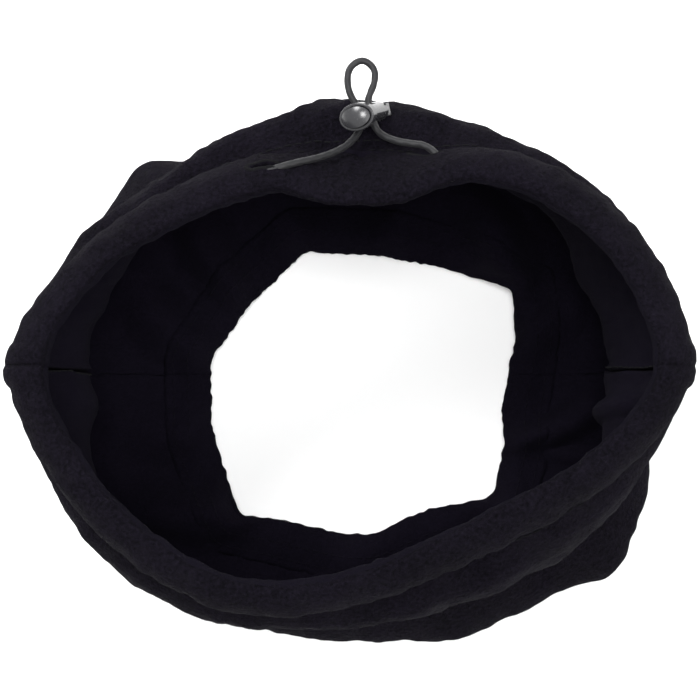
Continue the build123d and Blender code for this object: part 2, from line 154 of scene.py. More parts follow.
@dataclass(frozen=True)
class Fold:
    """A soft ridge or dent of the fabric.

    level counts the rings of the tube from the lower hem's raw edge up. slant turns the fold round the
    tube, in degrees for each level.
    """

    angle: float
    level: float
    width: float
    reach: float
    depth: float
    slant: float = 0.0

    def push(self, angles: np.ndarray, levels: np.ndarray) -> np.ndarray:
        """How far the fold moves the fabric outwards, in mm, over a grid of angles and levels."""
        centre = self.angle + self.slant * (levels[None, :] - self.level)
        away = (angles[:, None] - centre + 180) % 360 - 180
        along = (levels[None, :] - self.level) / self.reach
        return self.depth * np.exp(-((away / self.width) ** 2) - along**2)


@dataclass(frozen=True)
class FloorPleat:
    """A pleat that stands up from the floor, from a corner of the hem out to the wall.

    The pleat turns by turn degrees on its way out. height is its crest in mm, hem_share how much of that
    is left at the hem's edge.
    """

    angle: float
    turn: float
    width: float
    height: float
    hem_share: float = 0.2

    def lift(self, angles: np.ndarray, share: np.ndarray) -> np.ndarray:
        """The lift in mm over a grid, where share runs from 0 at the hem's edge to 1 at the wall."""
        away = (angles[:, None] - self.angle - self.turn * share + 180) % 360 - 180
        swell = np.sin(np.pi * np.clip(share * 0.9 + 0.1, 0, 1)) ** 0.9
        along = np.where(share < 0.5, np.maximum(swell, self.hem_share), swell)
        return self.height * along * np.exp(-((away / self.width) ** 2))


@dataclass
class SlumpedTube:
    """The outer face of the whole fabric tube, as a grid of points.

    Rows run from the lower hem's raw edge, round the turned hem, out along the floor, up the body, over
    the rim and down to the inner edge of the casing. Columns run round the tube from the right seam.
    """

    columns_per_panel: int = 230
    rows_per_segment: tuple[int, ...] = (10, 4, 4, 14, 14, 14, 16, 16, 14, 6, 8, 6, 4, 5, 6, 6)
    hem_width: float = 17.0
    fleece: float = 2.2
    casing_radius: float = 4.6
    seed: int = 11
    small_folds: int = 150
    small_fold_bands: tuple[tuple, ...] = (
        ((5.6, 9.8), (2.2, 6.0), (0.2, 0.7), 0.6, 9.0),
        ((10.2, 13.0), (1.2, 3.0), (0.5, 1.4), 0.28, 2.0),
    )
    pile_height: float = 0.20

    hem: HemEdge = HemEdge(
        (
            (58.9, 31.2), (32.7, 39.2), (10.9, 43.2), (-16.4, 44.7), (-36.3, 25.4), (-50.5, 5.4),
            (-50.1, -20.0),
            (-40.0, -50.5), (-23.6, -52.7), (-1.8, -57.8), (8.0, -57.8), (25.4, -49.8), (51.6, -44.0),
            (56.0, -24.7), (54.9, -13.5), (59.6, 10.9),
        )
    )
    floor_fold: Outline = Outline(
        (
            (0, 95), (20, 94), (40, 91), (60, 84), (80, 82), (100, 81), (120, 86), (136, 97), (145, 95),
            (160, 96),
            (180, 95), (202, 101), (215, 99), (230, 94), (248, 88), (266, 86), (290, 92), (305, 95),
            (323, 105),
            (340, 103),
        ),
        5.0, 1.5, 140, 0.8,
    )
    lower_bulge: Outline = Outline(
        (
            (0, 101), (20, 100), (40, 97), (60, 90), (80, 88), (100, 87), (120, 90), (135, 103), (142, 103),
            (160, 103), (180, 102), (194, 106), (202, 110), (207, 110), (215, 107), (229, 102), (248, 96),
            (266, 94), (280, 96), (292, 101), (301, 103), (316, 111), (323, 115), (328, 115), (337, 113),
            (347, 108),
        ),
        31.0, 3.0, 120, 2.0,
    )
    crease: Outline = Outline(
        (
            (0, 92), (20, 91), (40, 89), (60, 83), (80, 80), (100, 79), (120, 81), (140, 87), (160, 90),
            (180, 93),
            (200, 96), (220, 94), (240, 88), (260, 79), (280, 76), (300, 80), (320, 88), (340, 93),
        ),
        57.0, 4.0, 135, 2.5,
    )
    upper_bulge: Outline = Outline(
        (
            (0, 104), (20, 101), (40, 98), (60, 92.5), (80, 90), (100, 89), (120, 88.5), (140, 91), (160, 98),
            (180, 103), (200, 104.5), (220, 103), (240, 96), (260, 88), (280, 85.5), (300, 89.5), (320, 97.5),
            (340, 103),
        ),
        84.0, 2.5, 110, 1.5,
    )
    stitch_line: Outline = Outline(
        (
            (0, 107.5), (20, 103), (40, 93), (60, 80.5), (72, 74), (80, 72), (90, 71.5), (100, 72), (108, 73),
            (120, 74.5), (140, 82), (160, 95), (180, 107.5), (200, 100), (220, 92), (240, 86), (260, 77),
            (280, 71.5), (300, 71), (320, 79), (340, 94),
        ),
        110.0, 0.8, 250, 0.6,
    )
    crest: Outline = Outline(
        (
            (0, 97), (10, 95), (20, 91), (32, 84.5), (44, 78), (56, 70), (64, 62), (71, 54.5), (78, 51.5),
            (90, 50.7),
            (98, 51.4), (104, 54), (112, 59), (120, 61.5), (140, 69.5), (160, 84), (180, 96.5),
            (200, 89.5), (220, 82.5),
            (240, 77), (260, 69), (280, 62.5), (300, 61), (320, 66), (340, 81),
        ),
        128.6, 0.5, 90, 0.8,
    )
    folds: tuple[Fold, ...] = (
        # the crushed corners of the lower fold
        Fold(325, 6.0, 5.0, 0.8, 2.5),
        Fold(313, 6.6, 6.0, 0.7, -4.5),
        Fold(204, 6.0, 5.0, 0.8, 1.5),
        Fold(213, 6.8, 7.0, 0.7, -3.0, 6.0),
        Fold(136, 6.0, 4.5, 0.9, 1.0),
        Fold(147, 6.9, 6.0, 0.8, -2.5, 5.0),
        # the wall drawn in over the floor pleats, and the flap of the right seam
        Fold(52, 6.2, 6.0, 0.9, -3.5, 7.0),
        Fold(20, 6.3, 4.5, 0.9, -3.0, 5.0),
        Fold(357, 6.4, 2.4, 1.1, -2.5, 3.0),
        Fold(331, 6.9, 5.0, 0.6, -2.5, 4.0),
        Fold(348, 6.2, 1.7, 2.4, -4.5, 4.0),
        Fold(190, 6.5, 3.0, 2.0, -2.5, -5.0),
        Fold(166, 7.0, 3.0, 2.0, -2.5, 5.0),
        Fold(216, 6.1, 5.0, 0.7, -2.0, -6.0),
        Fold(160, 6.4, 6.0, 0.9, -3.5, -6.0),
        Fold(124, 6.4, 6.0, 0.9, -3.0, -5.0),
        # drag lines and dents of the body
        Fold(118, 8.2, 12.0, 0.9, -2.0, 14.0),
        Fold(60, 7.8, 10.0, 0.8, -2.0, -12.0),
        Fold(190, 7.4, 9.0, 1.0, -3.0, 8.0),
        Fold(238, 7.6, 16.0, 0.45, 2.6, 12.0),
        Fold(262, 8.3, 18.0, 0.35, -2.4, 12.0),
        Fold(284, 8.9, 20.0, 0.4, 2.2, 12.0),
        Fold(300, 7.9, 14.0, 0.5, -2.6, 10.0),
        Fold(346, 7.6, 8.0, 1.0, -3.0, -6.0),
        Fold(20, 7.2, 9.0, 0.9, -2.5, 6.0),
        Fold(128, 9.2, 12.0, 0.5, 2.2, 16.0),
        # the rim, pulled in and flattened between the buttonholes
        Fold(90, 11.2, 13.0, 1.1, -3.4),
        Fold(87, 10.9, 2.4, 1.3, -1.5),
        Fold(94, 10.6, 2.0, 1.1, -0.9),
        Fold(70, 10.4, 4.0, 1.0, -1.4),
        Fold(108, 10.8, 3.0, 0.8, -0.9),
    )
    pleats: tuple[FloorPleat, ...] = (
        FloorPleat(28, 30, 10.0, 14.0, 0.15),
        FloorPleat(10, 12, 6.5, 7.0, 0.15),
        FloorPleat(336, 21, 3.6, 9.0, 0.45),
        FloorPleat(319, 8, 7.5, 11.0),
        FloorPleat(275, -8, 8.0, 5.0),
        FloorPleat(231, -20, 8.0, 12.0),
        FloorPleat(202, -14, 7.0, 6.0),
        FloorPleat(174, -20, 8.0, 10.0),
        FloorPleat(146, -16, 8.0, 12.0),
        FloorPleat(110, 10, 9.0, 6.0),
        FloorPleat(76, -10, 9.0, 6.0),
    )

    def __post_init__(self) -> None:
        """Lay out the grid and its points."""
        self.angles = np.linspace(0, 360, 2 * self.columns_per_panel + 1)
        self.levels = np.concatenate(
            [level + np.arange(rows) / rows for level, rows in enumerate(self.rows_per_segment)]
            + [[len(self.rows_per_segment)]]
        )
        self.points = self._draw()

    def row_of(self, level: float) -> int:
        """The grid row nearest to a level."""
        return int(np.argmin(np.abs(self.levels - level)))

    def _ring_points(self, angles: np.ndarray) -> np.ndarray:
        """The wall's ring points at each angle.

        Args:
            angles: angles round the tube, in degrees.

        Returns:
            An array of angle by ring by (radius, height), in mm.
        """
        hem = self.hem.radius(angles)
        floor = self.floor_fold.radius(angles)
        low = 0.4 + 0 * hem
        top = 2 * self.fleece + 0.4
        upper = self.upper_bulge.radius(angles)
        seam = self.stitch_line.radius(angles)
        seam_height = self.stitch_line.rise(angles)
        upper_height = self.upper_bulge.rise(angles)
        rim = self.crest.radius(angles) + self.casing_radius
        rim_height = self.crest.rise(angles) - self.casing_radius
        start = np.stack([seam, seam_height], axis=-1)
        end = np.stack([rim, rim_height], axis=-1)
        lean = end - start
        along = lean / np.linalg.norm(lean, axis=-1, keepdims=True)
        out = np.stack([along[:, 1], -along[:, 0]], axis=-1)
        radius = self.casing_radius
        filled = np.exp(-(((angles - 90) / 17) ** 2))
        shoulder = np.stack(
            [
                upper * 0.42 + seam * 0.58 + 4.2 + 1.5 * filled,
                upper_height * 0.36 + seam_height * 0.64 + 2.5 * filled,
            ],
            axis=-1,
        )
        rings = [
            np.stack([hem + self.hem_width, low + self.fleece + 0.35], axis=-1),
            np.stack([hem + 4.0, low + top], axis=-1),
            np.stack([hem, low + top / 2], axis=-1),
            np.stack([hem + 4.0, low], axis=-1),
            np.stack([hem * 0.5 + floor * 0.5, low], axis=-1),
            np.stack([floor, self.floor_fold.rise(angles)], axis=-1),
            np.stack([self.lower_bulge.radius(angles), self.lower_bulge.rise(angles)], axis=-1),
            np.stack([self.crease.radius(angles), self.crease.rise(angles)], axis=-1),
            np.stack([upper, upper_height], axis=-1),
            shoulder,
            start,
            start + 0.34 * (end - start) + out * (radius + 0.7),
            end + out * radius,
            end + along * radius,
            end - out * radius,
            start + 0.36 * (end - start) - out * (radius - 0.6),
            start - out * (self.fleece + 0.5),
        ]
        return np.stack(rings, axis=1)

    def _draw(self) -> np.ndarray:
        """The grid of points, columns by rows by (x, y, z), in metres."""
        rings = self._ring_points(self.angles)
        chords = np.linalg.norm(np.diff(rings, axis=1), axis=-1).mean(axis=0)
        spans = chords[None, :, None]
        steps = np.diff(rings, axis=1) / spans
        slopes = np.zeros_like(rings)
        slopes[:, 1:-1] = (steps[:, :-1] * spans[:, 1:] + steps[:, 1:] * spans[:, :-1]) / (
            spans[:, 1:] + spans[:, :-1]
        )
        slopes[:, 0], slopes[:, -1] = steps[:, 0], steps[:, -1]
        segment = np.minimum(self.levels.astype(int), len(chords) - 1)
        share = (self.levels - segment)[None, :, None]
        span = chords[segment][None, :, None]
        p1, p2 = rings[:, segment], rings[:, segment + 1]
        m1, m2 = slopes[:, segment] * span, slopes[:, segment + 1] * span
        profile = hermite(share, p1, p2, m1, m2)
        turn = np.radians(self.angles)[:, None]
        base = np.stack(
            [profile[..., 0] * np.cos(turn), profile[..., 0] * np.sin(turn), profile[..., 1]], axis=-1
        )
        moved = base + self.normals_of(base) * self._pushes()[..., None]
        moved[..., 2] += self._lifts(profile[..., 0], rings[:, 2, 0], rings[:, 5, 0])
        moved[..., 2] = np.maximum(moved[..., 2], 0.35)
        return moved * MM

    def _lifts(self, radii: np.ndarray, hem: np.ndarray, floor: np.ndarray) -> np.ndarray:
        """How far the floor pleats lift each grid point of the hem and the flange, in mm."""
        share = (radii - hem[:, None]) / (floor - hem)[:, None]
        total = np.zeros_like(radii)
        for pleat in self.pleats:
            total += pleat.lift(self.angles, share)
        fade = 1 - np.clip((self.levels - 5.0) / 0.35, 0, 1)[None, :]
        return total * fade * (share < 1.05)

    def _pushes(self) -> np.ndarray:
        """How far every fold together moves each grid point outwards, in mm."""
        total = np.zeros((len(self.angles), len(self.levels)))
        for fold in self.folds:
            total += fold.push(self.angles, self.levels)
        chance = np.random.default_rng(self.seed)
        for levels, widths, reaches, depth, slant in self.small_fold_bands:
            for _ in range(self.small_folds):
                fold = Fold(
                    angle=chance.uniform(0, 360),
                    level=chance.uniform(*levels),
                    width=chance.uniform(*widths),
                    reach=chance.uniform(*reaches),
                    depth=chance.normal(0, depth),
                    slant=chance.normal(0, slant),
                )
                total += fold.push(self.angles, self.levels)
        return total + self._seam_push() + self._pile(chance)

    def _pile(self, chance: np.random.Generator) -> np.ndarray:
        """The uneven pile of the brushed knit, a fraction of a millimetre high."""
        pile = chance.normal(0, 1, (len(self.angles), len(self.levels)))
        for _ in range(2):
            pile = (np.roll(pile, 1, 0) + 2 * pile + np.roll(pile, -1, 0)) / 4
            pile = (np.roll(pile, 1, 1) + 2 * pile + np.roll(pile, -1, 1)) / 4
        pile *= self.pile_height / pile.std()
        pile[-1] = pile[0]
        return pile

    def _seam_push(self) -> np.ndarray:
        """The bump of the seam allowances at both side seams, with the seam's own groove in it."""
        casing = np.exp(-(((self.levels - 11.3) / 1.6) ** 2))
        away = np.abs((self.angles + 90) % 180 - 90)[:, None]
        bump = 1.7 * np.exp(-((away / 3.5) ** 8)) * (0.3 + 0.7 * casing)[None, :]
        groove = 0.55 * np.exp(-((away / 0.45) ** 2))
        return (bump - groove) * ((self.levels > 5.5) & (self.levels < 13.2))[None, :]

    @staticmethod
    def normals_of(points: np.ndarray) -> np.ndarray:
        """The outward unit normal at each grid point of a closed tube."""
        round_step = np.empty_like(points)
        round_step[1:-1] = points[2:] - points[:-2]
        round_step[0] = round_step[-1] = points[1] - points[-2]
        up_step = np.gradient(points, axis=1)
        normal = np.cross(round_step, up_step)
        return normal / np.maximum(np.linalg.norm(normal, axis=-1, keepdims=True), 1e-12)

    def place(self, angle: float, level: float) -> tuple[Vector, Vector, Vector]:
        """The point, the outward normal and the direction round the tube at a place on the fabric."""
        column = (angle % 360) / 360 * (len(self.angles) - 1)
        row = float(np.interp(level, self.levels, np.arange(len(self.levels))))
        i, j = int(column), min(int(row), len(self.levels) - 2)
        u, v = column - i, row - j
        i_next = (i + 1) % (len(self.angles) - 1)
        here, ahead = self.points[i], self.points[i_next]
        corners = here[j], ahead[j], here[j + 1], ahead[j + 1]
        below = (1 - u) * corners[0] + u * corners[1]
        point = (1 - v) * below + v * ((1 - u) * corners[2] + u * corners[3])
        around = Vector((1 - v) * (corners[1] - corners[0]) + v * (corners[3] - corners[2])).normalized()
        up = Vector((1 - u) * (corners[2] - corners[0]) + u * (corners[3] - corners[1])).normalized()
        return Vector(point), around.cross(up).normalized(), around


@dataclass
class Drape:
    """A short cloth simulation that lets the drawn tube settle under its own weight."""

    frames: int = 14
    first_level: float = 4.2
    last_level: float = 10.0
    column_step: int = 4
    row_step: int = 3
    spare: float = 0.035
    share: float = 0.30
    cap: float = 0.0011

    def settle(self, tube: SlumpedTube) -> None:
        """Move the tube's body by what the simulation moves it, within the cap.

        Args:
            tube: the tube, whose points are changed in place.
        """
        columns = np.arange(0, len(tube.angles) - 1, self.column_step)
        rows = np.arange(tube.row_of(self.first_level), tube.row_of(self.last_level) + 1, self.row_step)
        start = tube.points[np.ix_(columns, rows)]
        moved = self._simulate(start) - start
        moved = self.share * (self._blurred(moved, 1.2) - self._blurred(moved, 6.0))
        length = np.linalg.norm(moved, axis=-1, keepdims=True)
        moved *= self.cap * np.tanh(length / self.cap) / np.maximum(length, 1e-9)
        moved = np.concatenate([moved, moved[:1]])
        coarse_angles = np.append(tube.angles[columns], 360.0)
        across = np.stack(
            [
                [np.interp(tube.angles, coarse_angles, moved[:, row, axis]) for row in range(len(rows))]
                for axis in range(3)
            ],
            axis=-1,
        )
        inside = np.arange(rows[0], rows[-1] + 1)
        for column in range(len(tube.angles)):
            for axis in range(3):
                shift = np.interp(inside, rows, across[:, column, axis])
                tube.points[column, inside, axis] += shift
        tube.points[..., 2] = np.maximum(tube.points[..., 2], 0.35 * MM)

    @staticmethod
    def _blurred(moved: np.ndarray, reach: float) -> np.ndarray:
        """The move, averaged round the tube: what is broad in it would change the tube's outline."""
        reach_steps = np.arange(-15, 16)
        weights = np.exp(-((reach_steps / reach) ** 2))
        weights /= weights.sum()
        return sum(weight * np.roll(moved, step, axis=0) for weight, step in zip(weights, reach_steps))

    def _simulate(self, start: np.ndarray) -> np.ndarray:
        """Run the cloth on a coarse tube, held at its hem and its stitch line, and give its points."""
        columns, rows = start.shape[:2]
        faces = [
            (i * rows + j, (i + 1) % columns * rows + j, (i + 1) % columns * rows + j + 1, i * rows + j + 1)
            for i in range(columns)
            for j in range(rows - 1)
        ]
        cloth = mesh_object("drape_trial", start.reshape(-1, 3), faces)
        held = cloth.vertex_groups.new(name="held")
        edge = [i * rows + j for i in range(columns) for j in (0, 1, rows - 1)]
        held.add(edge, 1.0, "REPLACE")
        drape = cloth.modifiers.new("drape", "CLOTH")
        settings = drape.settings
        settings.vertex_group_mass = "held"
        settings.quality = 6
        settings.mass = 0.3
        settings.tension_stiffness = settings.compression_stiffness = 14
        settings.shear_stiffness = 6
        settings.bending_stiffness = 0.5
        settings.shrink_min = -self.spare
        drape.point_cache.frame_start = 1
        drape.point_cache.frame_end = self.frames
        scene = bpy.context.scene
        for step in range(1, self.frames + 1):
            scene.frame_set(step)
        settled = cloth.evaluated_get(bpy.context.evaluated_depsgraph_get())
        points = np.empty(len(cloth.data.vertices) * 3)
        settled.data.vertices.foreach_get("co", points)
        scene.frame_set(1)
        bpy.data.objects.remove(cloth)
        return points.reshape(start.shape)


# Finishes


def new_material(name: str) -> tuple[bpy.types.Material, bpy.types.ShaderNode]:
    """A node material and its Principled shader."""
    material = bpy.data.materials.new(name)
    material.use_nodes = True
    return material, material.node_tree.nodes["Principled BSDF"]


def nap_group() -> bpy.types.NodeTree:
    """The nap of a brushed knit, from Object coordinates: a height from pills and fibres, and a colour whose
    pill part is painted shade (lighter on the pill tops, darker in the hollows between them), with random
    tone from the fibres and slow changes.
    """
    group = bpy.data.node_groups.new("fabric_nap", "ShaderNodeTree")
    face = group.interface
    for name, default in (("Pill Scale", 700.0), ("Fibre Scale", 2600.0), ("Pill Strength", 0.5)):
        socket = face.new_socket(name, in_out="INPUT", socket_type="NodeSocketFloat")
        socket.default_value = default
    for name in ("Dark", "Light"):
        socket = face.new_socket(name, in_out="INPUT", socket_type="NodeSocketColor")
        socket.default_value = (0.02, 0.02, 0.02, 1)
    face.new_socket("Color", in_out="OUTPUT", socket_type="NodeSocketColor")
    face.new_socket("Height", in_out="OUTPUT", socket_type="NodeSocketFloat")
    nodes, links = group.nodes, group.links
    source, result = nodes.new("NodeGroupInput"), nodes.new("NodeGroupOutput")
    place = nodes.new("ShaderNodeTexCoord")
    pills = nodes.new("ShaderNodeTexNoise")
    pills.inputs["Detail"].default_value = 3.0
    pills.inputs["Roughness"].default_value = 0.62
    fibres = nodes.new("ShaderNodeTexNoise")
    fibres.inputs["Detail"].default_value = 2.0
    fibres.inputs["Distortion"].default_value = 1.6
    cells = nodes.new("ShaderNodeTexVoronoi")
    cells.feature = "SMOOTH_F1"
    slow = nodes.new("ShaderNodeTexNoise")
    slow.inputs["Scale"].default_value = 38.0
    slow.inputs["Detail"].default_value = 2.0
    for texture in (pills, fibres, cells, slow):
        links.new(place.outputs["Object"], texture.inputs["Vector"])
    links.new(source.outputs["Pill Scale"], pills.inputs["Scale"])
    links.new(source.outputs["Pill Scale"], cells.inputs["Scale"])
    links.new(source.outputs["Fibre Scale"], fibres.inputs["Scale"])

    def math_node(
        kind: str, first: bpy.types.NodeSocket, second: bpy.types.NodeSocket | float
    ) -> bpy.types.NodeSocket:
        """The output of a Math node of one kind on two values."""
        node = nodes.new("ShaderNodeMath")
        node.operation = kind
        links.new(first, node.inputs[0])
        if isinstance(second, float):
            node.inputs[1].default_value = second
        else:
            links.new(second, node.inputs[1])
        return node.outputs[0]

    hollow = math_node("MULTIPLY", cells.outputs["Distance"], 0.35)
    pill_height = math_node("SUBTRACT", pills.outputs["Fac"], hollow)
    pill_part = math_node("MULTIPLY", pill_height, source.outputs["Pill Strength"])
    fibre_part = math_node("MULTIPLY", fibres.outputs["Fac"], 0.35)
    height = math_node("ADD", pill_part, fibre_part)
    links.new(height, result.inputs["Height"])
    # The colour follows the pill height: the pill tops are lighter and the hollows between the pills darker,
    # which is painted shade; the fibre and slow parts are random tone.
    pill_swing = math_node("SUBTRACT", pill_height, 0.38)
    pill_painted_shade = math_node("MULTIPLY", pill_swing, source.outputs["Pill Strength"])
    fibre_shade = math_node("MULTIPLY", math_node("SUBTRACT", fibres.outputs["Fac"], 0.5), 0.9)
    slow_shade = math_node("ADD", math_node("MULTIPLY", slow.outputs["Fac"], 0.5), 0.25)
    even_shade = math_node("ADD", fibre_shade, slow_shade)
    shade = math_node("ADD", math_node("MULTIPLY", pill_painted_shade, 1.25), even_shade)
    mix = nodes.new("ShaderNodeMix")
    mix.data_type = "RGBA"
    links.new(shade, mix.inputs["Factor"])
    links.new(source.outputs["Dark"], mix.inputs["A"])
    links.new(source.outputs["Light"], mix.inputs["B"])
    links.new(mix.outputs["Result"], result.inputs["Color"])
    return group


@dataclass(frozen=True)
class FleeceFinish:
    """Brushed polyester fleece, on the pilled outside or the smoother inside; its darker copies carry painted
    shade.
    """

    name: str
    dark: tuple[float, float, float]
    light: tuple[float, float, float]
    pill_scale: float
    pill_strength: float
    bump: float
    sheen: float
    sheen_tint: tuple[float, float, float]

    def build(self, nap: bpy.types.NodeTree) -> bpy.types.Material:
        """Make the material, with the shared nap group in it."""
        material, shader = new_material(self.name)
        nodes, links = material.node_tree.nodes, material.node_tree.links
        texture = nodes.new("ShaderNodeGroup")
        texture.node_tree = nap
        texture.inputs["Pill Scale"].default_value = self.pill_scale
        texture.inputs["Pill Strength"].default_value = self.pill_strength
        texture.inputs["Dark"].default_value = (*self.dark, 1)
        texture.inputs["Light"].default_value = (*self.light, 1)
        links.new(texture.outputs["Color"], shader.inputs["Base Color"])
        bump = nodes.new("ShaderNodeBump")
        bump.inputs["Strength"].default_value = self.bump
        bump.inputs["Distance"].default_value = 0.0024
        links.new(texture.outputs["Height"], bump.inputs["Height"])
        links.new(bump.outputs["Normal"], shader.inputs["Normal"])
        shader.inputs["Roughness"].default_value = 0.92
        shader.inputs["Specular IOR Level"].default_value = 0.03
        shader.inputs["Sheen Weight"].default_value = self.sheen
        shader.inputs["Sheen Roughness"].default_value = 0.55
        shader.inputs["Sheen Tint"].default_value = (*self.sheen_tint, 1)
        return material


@dataclass(frozen=True)
class CordFinish:
    """The yarn of the braided elastic, whose braid is in its mesh."""

    name: str = "elastic_braid"
    dark: tuple[float, float, float] = (0.002, 0.002, 0.0026)
    light: tuple[float, float, float] = (0.015, 0.015, 0.017)

    def build(self, nap: bpy.types.NodeTree) -> bpy.types.Material:
        """Make the material, with the shared nap group for its fine hairs."""
        material, shader = new_material(self.name)
        nodes, links = material.node_tree.nodes, material.node_tree.links
        texture = nodes.new("ShaderNodeGroup")
        texture.node_tree = nap
        texture.inputs["Pill Scale"].default_value = 3200.0
        texture.inputs["Fibre Scale"].default_value = 6500.0
        texture.inputs["Dark"].default_value = (*self.dark, 1)
        texture.inputs["Light"].default_value = (*self.light, 1)
        links.new(texture.outputs["Color"], shader.inputs["Base Color"])
        bump = nodes.new("ShaderNodeBump")
        bump.inputs["Strength"].default_value = 0.35
        bump.inputs["Distance"].default_value = 0.0003
        links.new(texture.outputs["Height"], bump.inputs["Height"])
        links.new(bump.outputs["Normal"], shader.inputs["Normal"])
        shader.inputs["Roughness"].default_value = 0.55
        shader.inputs["Specular IOR Level"].default_value = 0.25
        shader.inputs["Sheen Weight"].default_value = 0.04
        return material


@dataclass(frozen=True)
class MouldedFinish:
    """Moulded plastic or drawn wire, with faint unevenness in its gloss."""

    name: str
    color: tuple[float, float, float]
    roughness: float
    metallic: float = 0.0

    def build(self) -> bpy.types.Material:
        """Make the material."""
        material, shader = new_material(self.name)
        nodes, links = material.node_tree.nodes, material.node_tree.links
        place = nodes.new("ShaderNodeTexCoord")
        grain = nodes.new("ShaderNodeTexNoise")
        grain.inputs["Scale"].default_value = 900.0
        grain.inputs["Detail"].default_value = 4.0
        links.new(place.outputs["Object"], grain.inputs["Vector"])
        spread = nodes.new("ShaderNodeMapRange")
        spread.inputs["To Min"].default_value = self.roughness - 0.07
        spread.inputs["To Max"].default_value = self.roughness + 0.09
        links.new(grain.outputs["Fac"], spread.inputs["Value"])
        links.new(spread.outputs["Result"], shader.inputs["Roughness"])
        tone = nodes.new("ShaderNodeMix")
        tone.data_type = "RGBA"
        tone.inputs["A"].default_value = (*(0.85 * part for part in self.color), 1)
        tone.inputs["B"].default_value = (*(1.15 * part for part in self.color), 1)
        links.new(grain.outputs["Fac"], tone.inputs["Factor"])
        links.new(tone.outputs["Result"], shader.inputs["Base Color"])
        bump = nodes.new("ShaderNodeBump")
        bump.inputs["Strength"].default_value = 0.08
        bump.inputs["Distance"].default_value = 0.0002
        links.new(grain.outputs["Fac"], bump.inputs["Height"])
        links.new(bump.outputs["Normal"], shader.inputs["Normal"])
        shader.inputs["Metallic"].default_value = self.metallic
        return material


# Making meshes


def mesh_object(name: str, points: np.ndarray, faces: list[tuple[int, ...]]) -> bpy.types.Object:
    """A mesh object at the origin, selected alone and active.

    Args:
        name: the piece's name.
        points: vertices, in metres.
        faces: corners of each face.

    Returns:
        The new object.
    """
    mesh = bpy.data.meshes.new(name)
    mesh.from_pydata([tuple(point) for point in points], [], faces)
    mesh.update()
    piece = bpy.data.objects.new(name, mesh)
    bpy.context.scene.collection.objects.link(piece)
    bpy.ops.object.select_all(action="DESELECT")
    piece.select_set(True)
    bpy.context.view_layer.objects.active = piece
    return piece


def smooth(piece: bpy.types.Object) -> None:
    """Shade every face smooth."""
    piece.data.polygons.foreach_set("use_smooth", [True] * len(piece.data.polygons))


@dataclass
class FleecePanel:
    """One of the two fleece panels, cut, turned over at rim and hem, and sewn at the sides."""

    name: str
    node: str
    side: Side
    slits: tuple["Buttonhole", ...] = ()
    flat_width: float = 0.300
    flat_height: float = 0.270
    seam_lap: float = 0.5
    inner_ply_level: float = 13.3
    hem_fold_level: float = 2.2
    floor_clearance: float = 0.1

    def build(
        self, tube: SlumpedTube, outside: bpy.types.Material, inside: bpy.types.Material
    ) -> bpy.types.Object:
        """Make the panel's closed shell.

        Args:
            tube: the shape of the whole tube.
            outside: the finish of the pilled face.
            inside: the finish of the smoother face, darker by painted shade; it is also laid on the casing's
                inner ply and the turned hem as painted shade.

        Returns:
            The panel's object.
        """
        first = self.side.value * tube.columns_per_panel // 180
        grid = tube.points[first:first + tube.columns_per_panel + 1].copy()
        lap = self.seam_lap * MM * (-1 if self.side is Side.BACK else 1)
        inner_ply, hem_fold = tube.row_of(self.inner_ply_level), tube.row_of(self.hem_fold_level)
        grid[[0, -1], inner_ply:, 1] += lap
        columns, rows = grid.shape[:2]
        faces = []
        for i in range(columns - 1):
            for j in range(rows - 1):
                if not any(slit.cuts(tube, first + i, j) for slit in self.slits):
                    faces.append((i * rows + j, (i + 1) * rows + j, (i + 1) * rows + j + 1, i * rows + j + 1))
        piece = mesh_object(self.name, grid.reshape(-1, 3), faces)
        smooth(piece)
        piece.data.materials.append(outside)
        piece.data.materials.append(inside)
        # The casing's inner ply and the turned hem get the darker inside finish too: painted shade of the
        # tube's hollow.
        for face in piece.data.polygons:
            row = min(face.vertices) % rows
            if row >= inner_ply or row < hem_fold:
                face.material_index = 1
        wall = piece.modifiers.new("fleece", "SOLIDIFY")
        wall.thickness = tube.fleece * MM
        wall.offset = -1.0
        wall.material_offset = 1
        wall.use_quality_normals = True
        bpy.ops.object.modifier_apply(modifier=wall.name)
        for vertex in piece.data.vertices:
            vertex.co.z = max(vertex.co.z, self.floor_clearance * MM)
        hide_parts(self.node)
        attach(piece, "gaiter")
        return piece


